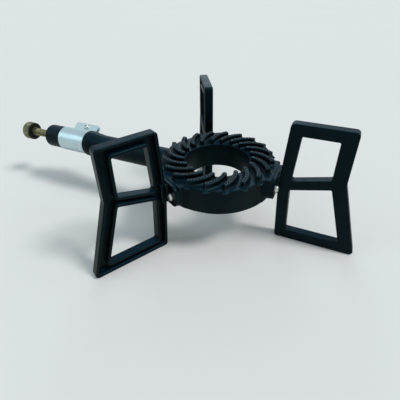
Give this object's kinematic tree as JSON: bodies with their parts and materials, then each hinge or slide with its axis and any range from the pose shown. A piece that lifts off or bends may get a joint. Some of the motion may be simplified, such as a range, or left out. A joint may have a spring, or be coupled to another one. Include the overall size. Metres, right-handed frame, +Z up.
{
  "type": "gas ring burner",
  "caption": "Cast-iron gas ring burner with raised spiral ribs and flame ports, on open bolted legs, with a mixing tube, a turning air band and a brass union inlet.",
  "frame": {"origin": "middle of the footprint, on the floor", "axes": "+Z up; the mixing tube points along -X from the ring, and one leg points along +X"},
  "size_m": [0.574, 0.3572, 0.176],
  "materials": {
    "black_paint": "semi-gloss black paint over cast iron",
    "zinc": "zinc plated",
    "plated_sheet": "bright plated sheet",
    "brass": "turned brass, dulled",
    "fibre": "red fibre",
    "rubber": "matt black"
  },
  "bodies": {
    "burner": {"burner_casting": "black_paint", "core_plugs": "black_paint", "leg_screws": "zinc", "leg_right": "black_paint", "leg_back": "black_paint", "leg_front": "black_paint", "end_plug": "brass", "inlet_stem": "brass", "gas_jet": "brass", "stem_seal": "fibre", "stem_lock_nut": "brass", "union_gasket": "rubber"},
    "air_band": {"air_band": "plated_sheet", "band_screw": "zinc", "band_nut": "zinc"},
    "union_nut": {"union_nut": "brass"}
  },
  "joints": [
    {"name": "air_band_turn", "type": "hinge", "parent": "burner", "child": "air_band", "pos_m": [-0.17312, 0, 0.087], "axis": [1, 0, 0], "range_deg": [0, 40]},
    {"name": "union_nut_turn", "type": "hinge", "parent": "burner", "child": "union_nut", "pos_m": [-0.28002, 0, 0.087], "axis": [1, 0, 0], "continuous": true}
  ]
}
